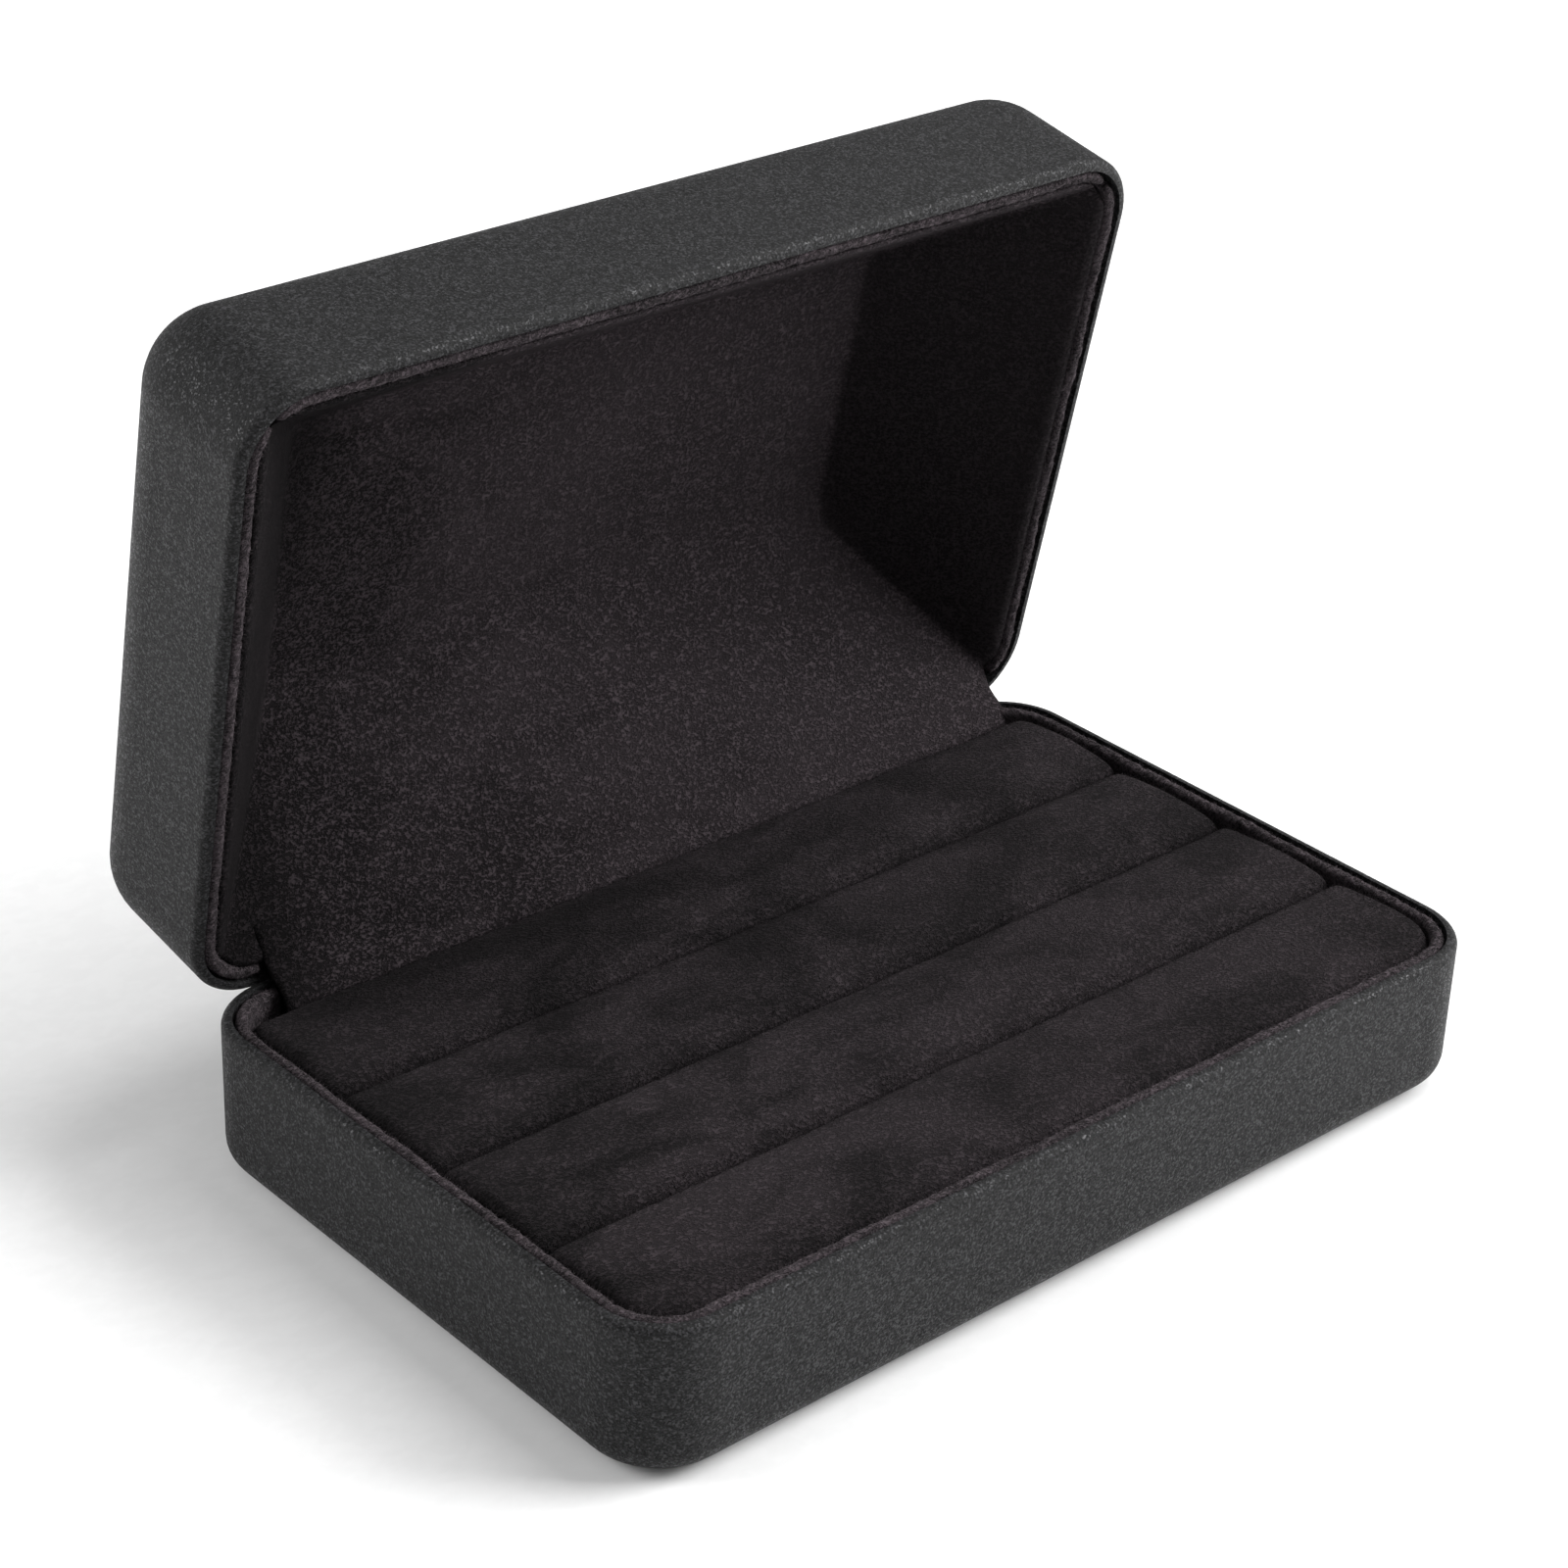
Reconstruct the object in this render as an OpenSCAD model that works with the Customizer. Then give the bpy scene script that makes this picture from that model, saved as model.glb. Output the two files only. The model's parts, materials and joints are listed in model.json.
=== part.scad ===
// Clamshell ring box: two wrapped shells on a pair of steel snap hinges, with four
// velvet ring rolls in the base and a velvet lining in the lid.
// Frame: +Z up, +X to the right, +Y towards the hinge. The origin is on the surface that
// the box stands on, under the middle of the base. The lid is drawn closed and is then
// turned back by open_angle about the hinge axis.

/* [Overall size] */
// Length of the box, along the hinge
box_w = 190; // [150:1:240]
// Depth of the box, front to back
box_d = 119.6; // [100:0.1:150]
// Height of the base, from the table to its rim
base_h = 28.6; // [24:0.1:45]
// Height of the lid, from its rim to its top
lid_h = 35.4; // [30:0.1:55]
// How far the lid stands open
open_angle = 79; // [40:1:95]

/* [Outer shape] */
// Radius of the upright corners and of the edge round the top of the lid
corner_r = 13.8; // [11:0.1:20]
// Radius of the edge round the bottom of the base
base_edge_r = 5.7; // [3:0.1:10]
// Radius of the outer edge of both rims
lip_r = 1.5; // [1.2:0.05:1.5]
// Gap between the two rims when the box is shut
rim_gap = 0.3; // [0.2:0.05:0.6]

/* [Shells and wraps] */
// Wall of the two moulded shells
shell_t = 1.1; // [1.1:0.05:1.4]
// Thickness of the crepe wrap
wrap_t = 0.4; // [0.3:0.05:0.5]
// How far the wrap turns down inside the rims
wrap_turn = 7; // [4:0.5:9]
// Thickness of the flocked sheet under the base
sheet_t = 0.3; // [0.2:0.05:0.5]
// Border left round the flocked sheet
sheet_border = 8; // [7:0.5:12]

/* [Rim bands] */
// Gap between the rim and its velvet band
groove = 0.4; // [0.3:0.05:0.8]
// Card inside the rim bands
band_card_t = 1.2; // [0.8:0.1:1.6]
// Velvet round the rim bands
band_velvet_t = 0.6; // [0.4:0.05:0.8]
// Height of the rim bands
band_h = 9; // [7:0.5:10]
// How far the bands stay below the rim plane
band_drop = 0.2; // [0.1:0.05:0.5]

/* [Ring rolls] */
// Room left behind the rolls for the hinges
hinge_bay = 8.2; // [7:0.1:12]
// Slit between two rolls
roll_slit = 0.4; // [0.3:0.05:1]
// How much higher a roll is along its middle than at its edges
roll_crown = 1.4; // [1:0.1:5]
// How far the crown of a roll stays below the rim plane
roll_drop = 0.1; // [0.1:0.1:4]
// Velvet on the rolls
roll_velvet_t = 0.8; // [0.5:0.1:1.2]
// Gap between the rolls and the rim band
roll_play = 0.3; // [0.2:0.05:0.6]
// Board under the rolls
board_t = 1.5; // [1:0.1:2.5]
// Gap between the board and the rounded foot of the tray
board_play = 0.3; // [0.2:0.05:1]

/* [Lid lining] */
// Air between the lid's top and the flat panel of the lining
panel_gap = 1.5; // [0.5:0.1:6]
// How far the lining slopes in at the two ends
slope_end = 27.5; // [10:0.5:35]
// How far the lining slopes in along the front
slope_front = 24.6; // [10:0.1:35]
// How far the lining slopes in over the hinge
slope_hinge = 28.3; // [10:0.1:35]
// Card of the lining
lining_card_t = 1.2; // [0.8:0.1:2]
// Velvet and thin foam of the lining
lining_velvet_t = 1.2; // [0.8:0.1:2]
// How far below the rim the lining starts
lining_start = 2; // [1:0.5:4]
// Corner radius of the flat panel
panel_corner_r = 3; // [1:0.5:8]
// Gap between the lining and the rim bands
lining_play = 0.2; // [0.1:0.05:0.5]

/* [Hinges] */
// Distance of each hinge from the middle of the box
hinge_x = 42; // [30:1:50]
// Length of each hinge
hinge_len = 26; // [20:1:34]
// Outer radius of the hinge knuckles
knuckle_r = 1.2; // [1:0.05:1.3]
// Radius of the hinge pins
pin_r = 0.6; // [0.4:0.05:0.7]
// Radial clearance of the pins in the knuckles
pin_play = 0.03; // [0.02:0.01:0.08]
// How far the hinge axis lies in from the back face
axis_inset = 1.2; // [1.2:0.05:1.4]
// How far the hinge axis lies below the base's rim
axis_drop = 0.45; // [0.3:0.05:0.6]
// Sheet steel of the hinge leaves
leaf_t = 0.8; // [0.5:0.05:1]
// Height of each hinge leaf
leaf_h = 16; // [12:0.5:18]
// Gap between two knuckles, and round them in the walls
knuckle_gap = 0.25; // [0.2:0.05:0.4]
// Thickness of the snap springs
spring_t = 0.3; // [0.2:0.05:0.4]
// Width of the snap springs
spring_w = 6.5; // [4:0.5:7]
// Length of the snap springs
spring_h = 10; // [6:0.5:12]
// Outer radius of the curl at the top of a snap spring
curl_r = 0.6; // [0.5:0.05:0.8]
// Radius of the rivets
rivet_r = 0.9; // [0.6:0.05:1.2]
// Radius of the rivet heads
rivet_head_r = 1.8; // [1.4:0.1:2.2]
// Height of the rivet heads
rivet_head_h = 0.5; // [0.3:0.05:0.8]
// Distance of a rivet from the end of its leaf
rivet_inset = 4; // [3:0.5:5]
// Clearance all round the metal parts that are fixed to each other
fit_play = 0.05; // [0.02:0.01:0.1]

/* [Hinge cover] */
// How far the velvet strip stops short of the left corner's curve
cover_left_short = 1.2; // [0:0.1:6]
// How far the velvet strip runs past the start of the right corner's curve
cover_right_past = 6.8; // [0:0.1:7]
// Thickness of the velvet strip
cover_t = 0.8; // [0.5:0.1:1]
// How far down the strip is glued inside the base
cover_h = 18; // [10:0.5:20]
// Gap between the strip and its neighbours
cover_play = 0.4; // [0.3:0.05:0.8]

/* [Hidden] */
$fn = 96;

WRAP = "#2c2e2e";
MOULDED = "#1c1c1d";
VELVET = "#2d2a2c";
CARD = "#6d6256";
FOAM = "#55534f";
STEEL = "#a9abac";
PAPER = "#242425";

// Cutting tools reach this far past what they cut
cut = 1;
// The axis that the lid turns about
axis_y = box_d / 2 - axis_inset;
axis_z = base_h - axis_drop;
// The lid's rim plane, shut
lid_z = base_h + rim_gap;
// Both lips are a shell between two layers of wrap
lip_t = shell_t + 2 * wrap_t;
// Distances in from the outer face
band_out = lip_t + groove;
card_out = band_out + band_velvet_t;
band_t = band_card_t + 2 * band_velvet_t;
band_in = band_out + band_t;
bed_in = band_in + roll_play;
board_in = max(bed_in, base_edge_r + board_play);
lining_in = band_in + lining_play;
// Heights in the base
wrap_z = sheet_t;
shell_z = wrap_z + wrap_t;
floor_z = shell_z + shell_t;
roll_z = floor_z + board_t;
crown_z = base_h - roll_drop;
// The rolls lie side by side between the front band and the hinge bay
roll_count = 4;
front_y = bed_in - box_d / 2;
roll_pitch = (box_d - bed_in - hinge_bay) / roll_count;
roll_w = roll_pitch - roll_slit;
// Radius of the arc over a roll
crown_r = (roll_w * roll_w / 4 + roll_crown * roll_crown) / (2 * roll_crown);
// Depth of the lining's panel below the lid's rim, and the lining's two layers
lining_t = lining_card_t + lining_velvet_t;
panel_z = lid_h - wrap_t - shell_t - panel_gap - lining_t;
// Thickness of the slabs that a sloping hull is stretched between
slab = 0.01;
// The faces that the hinge leaves lie against
leaf_y = box_d / 2 - lip_t - fit_play;
// Radius of the room for the knuckles, and length of one knuckle's share
knuckle_room = knuckle_r + knuckle_gap;
knuckle_len = hinge_len / 3;
// Rivets, measured from the axis
rivet_x = hinge_len / 2 - rivet_inset;
rivet_z = knuckle_room + leaf_h / 2;
// The velvet strip runs clear of the springs and the rivet heads
cover_y = leaf_y - leaf_t - max(rivet_head_h, 2 * curl_r) - cover_play;
cover_left = box_w / 2 - corner_r - cover_left_short;
cover_right = box_w / 2 - corner_r + cover_right_past;
cover_w = cover_left + cover_right;
// Gap between the strips of the lid's rim band where they meet on a corner
strip_gap = 0.3;

// ---------------------------------------------------------------- shared shapes

// A rounded rectangle round the box's upright axis, set in from the outer face
module outline(inset, r = corner_r) {
    w = box_w - 2 * inset;
    d = box_d - 2 * inset;
    k = max(r - inset, 0.5);
    union() {
        square([w - 2 * k, d], center = true);
        square([w, d - 2 * k], center = true);
        for (sx = [-1, 1], sy = [-1, 1])
            translate([sx * (w / 2 - k), sy * (d / 2 - k)]) rotate(sx > 0 ? 180 : 0) circle(k);
    }
}

// A section carried along one straight side: 0 right, 1 back, 2 left, 3 front.
// The section's X is measured out from the line corner_r inside the outer face.
module along_side(i) {
    span = (i % 2 == 0 ? box_d : box_w) - 2 * corner_r;
    out = (i % 2 == 0 ? box_w : box_d) / 2 - corner_r;
    rotate([0, 0, 90 * i]) translate([out, 0, 0]) rotate([90, 0, 0])
        linear_extrude(height = span, center = true) children();
}

// A section turned round one corner: 0 back right, 1 back left, 2 front left, 3 front right
module round_corner(i) {
    sx = (i == 0 || i == 3) ? 1 : -1;
    sy = i < 2 ? 1 : -1;
    translate([sx * (box_w / 2 - corner_r), sy * (box_d / 2 - corner_r), 0])
        rotate([0, 0, 90 * i]) rotate_extrude(angle = 90) children();
}

// A section carried all the way round the box
module all_round() {
    for (i = [0:3]) along_side(i) children();
    for (i = [0:3]) round_corner(i) children();
}

// Flat slab that fills the middle of a swept tray
module middle(z, t) {
    translate([0, 0, z + t / 2])
        cube([box_w - 2 * corner_r, box_d - 2 * corner_r, t], center = true);
}

// Quarter of a tray seen in section, from the inner line out to the wall: its outer face is
// set in by inset, it stands from z0 to z1, and its outer foot and its outer lip are rounded
module block_section(inset, z0, z1, foot_r, top_r) {
    w = corner_r - inset;
    intersection() {
        translate([0, z0]) square([w, z1 - z0]);
        union() {
            if (w > foot_r) translate([0, z0]) square([w - foot_r, z1 - z0]);
            translate([0, z0 + foot_r]) square([w - top_r, z1 - z0 - foot_r]);
            translate([0, z0 + foot_r]) square([w, z1 - z0 - foot_r - top_r]);
            translate([w - foot_r, z0 + foot_r]) circle(foot_r);
            if (top_r > 0) translate([w - top_r, z1 - top_r]) circle(top_r);
        }
    }
}

// Wall and floor between two block sections
module tray_section(inset, t, z0, z1, foot_r, top_r) {
    difference() {
        block_section(inset, z0, z1, foot_r, top_r);
        block_section(inset + t, z0 + t, z1 + cut, foot_r - t, 0);
    }
}

// Moulded shell with its rim at height h above z = 0
module shell(h, edge_r, z0) {
    top = h - wrap_t;
    union() {
        all_round() tray_section(wrap_t, shell_t, z0, top, edge_r - wrap_t,
                                 min(lip_r - wrap_t, shell_t));
        middle(z0, shell_t);
    }
}

// Crepe wrap in section: over the outer face, round the lip and down inside it
module wrap_section(h, edge_r, z0) {
    inner = corner_r - lip_t;
    turn_z = h - wrap_turn;
    difference() {
        block_section(0, z0, h, edge_r, lip_r);
        intersection() {
            block_section(wrap_t, z0 + wrap_t, h - wrap_t, edge_r - wrap_t,
                          min(lip_r - wrap_t, shell_t));
            union() {
                translate([inner + wrap_t, z0]) square([corner_r, h - z0]);
                square([corner_r, turn_z]);
            }
        }
        translate([-cut, turn_z - cut]) square([inner + cut, wrap_turn + 2 * cut]);
    }
}

// Velvet or card of a rim band, seen in section, with the rim plane at height h
module band_card_section(h) {
    translate([corner_r - card_out - band_card_t, h - band_drop - band_h])
        square([band_card_t, band_h - band_velvet_t]);
}

module band_velvet_section(h) {
    difference() {
        translate([corner_r - band_in, h - band_drop - band_h]) square([band_t, band_h]);
        translate([corner_r - card_out - band_card_t, h - band_drop - band_h - cut])
            square([band_card_t, band_h - band_velvet_t + cut]);
    }
}

// Room that the hinge cover takes out of the rim bands
module cover_room(h) {
    translate([-cover_left - cover_play, box_d / 2 - corner_r - cut, h - band_h - cut])
        cube([cover_w + 2 * cover_play, corner_r + 2 * cut, band_h + 2 * cut]);
}

// Turns a piece of the lid from its shut place to its open one
module opened() {
    translate([0, axis_y, axis_z]) rotate([-open_angle, 0, 0])
        translate([0, -axis_y, -axis_z]) children();
}

// A piece of the lid drawn rim down at z = 0, brought to its shut place
module on_lid() {
    opened() translate([0, 0, lid_z]) children();
}

// The same shape upside down, with its rim on z = 0 and its closed end up
module rim_down(h) {
    translate([0, 0, h]) mirror([0, 0, 1]) children();
}

// Slots through a back wall round the knuckles, in the shut frame
module hinge_slots() {
    for (side = [-1, 1]) translate([side * hinge_x, axis_y, axis_z])
        cube([hinge_len + 2 * knuckle_gap, 2 * (lip_t + cut), 2 * knuckle_room],
             center = true);
}

// Rivet holes through a back wall, dir times rivet_z above the axis
module rivet_holes(dir) {
    for (side = [-1, 1], k = [-1, 1])
        translate([side * hinge_x + k * rivet_x, box_d / 2 - wrap_t,
                   axis_z + dir * rivet_z])
            rotate([90, 0, 0]) cylinder(r = rivet_r + fit_play, h = lip_t + cut);
}

// ---------------------------------------------------------------- base

module base_shell() color(MOULDED) difference() {
    shell(base_h, base_edge_r, shell_z);
    hinge_slots();
    rivet_holes(-1);
}

module base_wrap() color(WRAP) difference() {
    all_round() wrap_section(base_h, base_edge_r, wrap_z);
    hinge_slots();
    rivet_holes(-1);
}

module base_underside_sheet() color(PAPER)
    linear_extrude(height = sheet_t) outline(sheet_border);

module base_rim_card() color(CARD) difference() {
    all_round() band_card_section(base_h);
    cover_room(base_h);
}

module base_rim_velvet() color(VELVET) difference() {
    all_round() band_velvet_section(base_h);
    cover_room(base_h);
}

module insert_board() color(CARD) translate([0, 0, floor_z])
    linear_extrude(height = board_t) outline(board_in);

// Plan of one roll, counted from the front; shrink draws it in by the velvet's thickness.
// The tray's outline rounds the corners of the first and the last roll.
module roll_plan(i, shrink) {
    y0 = i == 0 ? -box_d / 2 : front_y + i * roll_pitch + shrink;
    y1 = front_y + (i + 1) * roll_pitch - roll_slit - shrink;
    intersection() {
        outline(bed_in + shrink);
        translate([-box_w / 2, y0]) square([box_w, y1 - y0]);
    }
}

// One roll: its plan, under an arc that runs along the roll
module roll_block(i, shrink) {
    y = front_y + (i + 0.5) * roll_pitch - roll_slit / 2;
    intersection() {
        translate([0, 0, roll_z]) linear_extrude(height = base_h) roll_plan(i, shrink);
        translate([0, y, crown_z - crown_r]) rotate([0, 90, 0])
            cylinder(r = crown_r - shrink, h = box_w, center = true, $fn = 360);
    }
}

module roll_foam(i) color(FOAM) roll_block(i, roll_velvet_t);

module roll_velvet(i) color(VELVET) difference() {
    roll_block(i, 0);
    roll_block(i, roll_velvet_t);
}

// ---------------------------------------------------------------- hinges

// Knuckle barrel along X, its middle at x
module knuckle(x, len) {
    translate([x, axis_y, axis_z]) rotate([0, 90, 0])
        cylinder(r = knuckle_r, h = len, center = true);
}

// Leaf plate with its knuckles, drawn about x = 0 in the shut frame: with dir = -1 it hangs
// down from two outer knuckles, with dir = 1 it stands up from a middle one
module leaf(dir) {
    len = knuckle_len - knuckle_gap;
    spots = dir < 0 ? [-knuckle_len, knuckle_len] : [0];
    difference() {
        union() {
            translate([0, leaf_y - leaf_t / 2, axis_z + dir * rivet_z])
                cube([hinge_len, leaf_t, leaf_h], center = true);
            for (x = spots) {
                knuckle(x, len);
                translate([x, leaf_y - leaf_t / 2, axis_z + dir * (knuckle_room + cut) / 2])
                    cube([len, leaf_t, knuckle_room + cut], center = true);
            }
        }
        translate([0, axis_y, axis_z]) rotate([0, 90, 0])
            cylinder(r = pin_r + pin_play, h = hinge_len + 2 * cut, center = true);
        for (k = [-1, 1])
            translate([k * rivet_x, leaf_y + cut, axis_z + dir * rivet_z])
                rotate([90, 0, 0]) cylinder(r = rivet_r + fit_play, h = leaf_t + 2 * cut);
    }
}

module base_hinge_leaf(side) color(STEEL) translate([side * hinge_x, 0, 0]) leaf(-1);

module lid_hinge_leaf(side) color(STEEL) opened()
    translate([side * hinge_x, 0, 0]) leaf(1);

module hinge_pin(side) color(STEEL)
    translate([side * hinge_x, axis_y, axis_z]) rotate([0, 90, 0])
    cylinder(r = pin_r, h = hinge_len - knuckle_gap, center = true);

// Flat spring that lies on the base leaf and curls in below the middle knuckle
module snap_spring(side) color(STEEL) {
    face_y = leaf_y - leaf_t;
    curl_z = axis_z - knuckle_room - curl_r - fit_play;
    translate([side * hinge_x - spring_w / 2, face_y, curl_z]) {
        translate([0, -spring_t, -spring_h]) cube([spring_w, spring_t, spring_h]);
        translate([0, -curl_r, 0]) rotate([90, 0, 90])
            linear_extrude(height = spring_w) difference() {
                circle(curl_r);
                circle(curl_r - spring_t);
                translate([-2 * curl_r, -2 * curl_r]) square(2 * curl_r);
                translate([-cut, -2 * curl_r]) square([curl_r + 2 * cut, 2 * curl_r]);
            }
    }
}

// Rivets through leaf and wall, dir times rivet_z above the axis
module rivets(dir) {
    y0 = leaf_y - leaf_t;
    reach = box_d / 2 - wrap_t - y0 - fit_play;
    for (side = [-1, 1], k = [-1, 1])
        translate([side * hinge_x + k * rivet_x, y0, axis_z + dir * rivet_z]) {
            rotate([90, 0, 0]) cylinder(r = rivet_head_r, h = rivet_head_h);
            rotate([-90, 0, 0]) cylinder(r = rivet_r, h = reach);
        }
}

module base_hinge_rivets() color(STEEL) rivets(-1);

module lid_hinge_rivets() color(STEEL) opened() rivets(1);

// ---------------------------------------------------------------- hinge cover

// The velvet strip over the hinge is one piece. Each end is held here on the body that it
// is glued to, and the two ends stay clear of each other.
module hinge_cover_base() color(VELVET)
    translate([-cover_left, cover_y - cover_t, base_h - cover_play - cover_h])
    cube([cover_w, cover_t, cover_h]);

module hinge_cover_lid() color(VELVET) opened()
    translate([-cover_left, cover_y - cover_t, lid_z + cover_play])
    cube([cover_w, cover_t, lining_start - 2 * cover_play]);

// ---------------------------------------------------------------- lid

module lid_shell() color(MOULDED) opened() difference() {
    translate([0, 0, lid_z]) rim_down(lid_h) shell(lid_h, corner_r, wrap_t);
    hinge_slots();
    rivet_holes(1);
}

module lid_wrap() color(WRAP) opened() difference() {
    translate([0, 0, lid_z]) rim_down(lid_h) {
        all_round() wrap_section(lid_h, corner_r, 0);
        middle(0, wrap_t);
    }
    hinge_slots();
    rivet_holes(1);
}

// The room of the front strip of the lid's rim band: it runs out to the diagonals of the
// front corners
module front_room() {
    cx = box_w / 2 - corner_r;
    cy = box_d / 2 - corner_r + strip_gap;
    translate([0, 0, -lid_h]) linear_extrude(height = 2 * lid_h)
        polygon([[-cx, -cy], [-cx - box_d, -cy - box_d], [cx + box_d, -cy - box_d],
                 [cx, -cy]]);
}

// The room of an end strip, side = -1 left, side = 1 right: from the front corner's
// diagonal to the end of the back corner
module end_room(side) {
    cx = box_w / 2 - corner_r;
    cy = box_d / 2 - corner_r;
    translate([0, 0, -lid_h]) linear_extrude(height = 2 * lid_h)
        polygon([[side * cx, -cy], [side * (cx + box_d), -cy - box_d],
                 [side * (cx + box_d), box_d], [side * cx, box_d]]);
}

module lid_rim_card_front() color(CARD) on_lid() rim_down(0) intersection() {
    all_round() band_card_section(0);
    front_room();
}

module lid_rim_velvet_front() color(VELVET) on_lid() rim_down(0) intersection() {
    all_round() band_velvet_section(0);
    front_room();
}

module lid_rim_card_end(side) color(CARD) on_lid() rim_down(0) difference() {
    intersection() {
        all_round() band_card_section(0);
        end_room(side);
    }
    cover_room(0);
}

module lid_rim_velvet_end(side) color(VELVET) on_lid() rim_down(0) difference() {
    intersection() {
        all_round() band_velvet_section(0);
        end_room(side);
    }
    cover_room(0);
}

// The hollow of the lining: open at the rim, narrowing to the flat panel. lift moves its
// slopes and its panel towards the rim.
module lining_hollow(lift) {
    px = box_w / 2 - lining_in - slope_end - panel_corner_r;
    py_front = box_d / 2 - lining_in - slope_front - panel_corner_r;
    py_hinge = box_d / 2 - lining_in - slope_hinge - panel_corner_r;
    hull() {
        translate([0, 0, lining_start - lift])
            linear_extrude(height = slab) outline(lining_in, $fn = 64);
        for (x = [-px, px], y = [-py_front, py_hinge])
            translate([x, y, panel_z + lining_t - lift - slab])
                cylinder(r = panel_corner_r, h = slab, $fn = 32);
    }
}

// One layer of the lining, its outer side lifted by lift
module lining_layer(lift, t) {
    intersection() {
        difference() {
            lining_hollow(lift);
            lining_hollow(lift + t);
        }
        translate([0, 0, lining_start + lid_h / 2])
            cube([box_w, box_d, lid_h], center = true);
    }
}

module lid_lining_card() color(CARD) on_lid() lining_layer(0, lining_card_t);

module lid_lining_velvet() color(VELVET) on_lid()
    lining_layer(lining_card_t, lining_velvet_t);

// ---------------------------------------------------------------- nodes

base_shell();
base_wrap();
base_underside_sheet();
base_rim_card();
base_rim_velvet();
insert_board();
roll_foam(3);  // roll_foam_1
roll_foam(2);  // roll_foam_2
roll_foam(1);  // roll_foam_3
roll_foam(0);  // roll_foam_4
roll_velvet(3);  // roll_velvet_1
roll_velvet(2);  // roll_velvet_2
roll_velvet(1);  // roll_velvet_3
roll_velvet(0);  // roll_velvet_4
base_hinge_leaf(-1);  // base_hinge_leaf_left
base_hinge_leaf(1);  // base_hinge_leaf_right
hinge_pin(-1);  // hinge_pin_left
hinge_pin(1);  // hinge_pin_right
snap_spring(-1);  // snap_spring_left
snap_spring(1);  // snap_spring_right
base_hinge_rivets();
hinge_cover_base();
lid_shell();
lid_wrap();
lid_rim_card_front();
lid_rim_card_end(-1);  // lid_rim_card_left
lid_rim_card_end(1);  // lid_rim_card_right
lid_rim_velvet_front();
lid_rim_velvet_end(-1);  // lid_rim_velvet_left
lid_rim_velvet_end(1);  // lid_rim_velvet_right
lid_lining_card();
lid_lining_velvet();
lid_hinge_leaf(-1);  // lid_hinge_leaf_left
lid_hinge_leaf(1);  // lid_hinge_leaf_right
lid_hinge_rivets();
hinge_cover_lid();
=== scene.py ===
"""Finishes and soft parts of a clamshell ring box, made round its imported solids."""

import json
import math
import random

import bpy
from bpy.props import FloatProperty, FloatVectorProperty, IntProperty, PointerProperty
from bpy.types import Operator, Panel, PropertyGroup
from mathutils import Matrix, Vector, noise


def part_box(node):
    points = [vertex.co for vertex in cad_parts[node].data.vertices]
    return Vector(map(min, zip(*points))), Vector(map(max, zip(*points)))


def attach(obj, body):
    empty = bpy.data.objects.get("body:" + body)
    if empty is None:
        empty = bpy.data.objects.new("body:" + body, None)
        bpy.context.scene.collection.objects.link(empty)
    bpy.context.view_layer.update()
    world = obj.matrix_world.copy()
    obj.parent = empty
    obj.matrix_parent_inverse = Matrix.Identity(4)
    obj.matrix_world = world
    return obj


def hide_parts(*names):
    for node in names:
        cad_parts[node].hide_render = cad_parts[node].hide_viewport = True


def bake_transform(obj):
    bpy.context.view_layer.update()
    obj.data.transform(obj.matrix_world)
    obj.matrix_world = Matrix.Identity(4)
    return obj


bl_info = {
    "name": "Clamshell ring box",
    "version": (1, 0, 0),
    "blender": (4, 5, 0),
    "location": "3D View > Sidebar > Ring box",
    "description": "Velvet, crepe wrap and studio for a clamshell ring box",
    "category": "Object",
}

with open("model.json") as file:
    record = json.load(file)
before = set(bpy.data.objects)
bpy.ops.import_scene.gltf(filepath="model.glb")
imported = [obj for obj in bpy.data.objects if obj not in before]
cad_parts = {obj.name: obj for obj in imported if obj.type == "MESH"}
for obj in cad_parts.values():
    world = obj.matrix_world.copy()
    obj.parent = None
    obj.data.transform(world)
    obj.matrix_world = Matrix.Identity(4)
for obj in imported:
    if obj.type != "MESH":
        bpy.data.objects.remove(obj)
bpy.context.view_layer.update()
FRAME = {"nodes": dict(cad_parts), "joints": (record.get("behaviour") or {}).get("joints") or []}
MM = 0.001

# ---------------------------------------------------------------- places taken from the frame

BASE_LOW, BASE_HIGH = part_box("base_wrap")
BOARD_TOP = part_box("insert_board")[1].z
HINGE = FRAME["joints"][0]
AXIS = Vector(HINGE["pos_m"])
OPEN_ANGLE = math.radians(max(HINGE["range_deg"]))
# Turns a point of the shut lid to its place on the open one
OPENED = (
    Matrix.Translation(AXIS)
    @ Matrix.Rotation(-OPEN_ANGLE, 4, "X")
    @ Matrix.Translation(-AXIS)
)


def sizes():
    return bpy.context.scene.ring_box_sizes


def finishes():
    return bpy.context.scene.ring_box_finishes


# ---------------------------------------------------------------- sizes and colours


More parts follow.
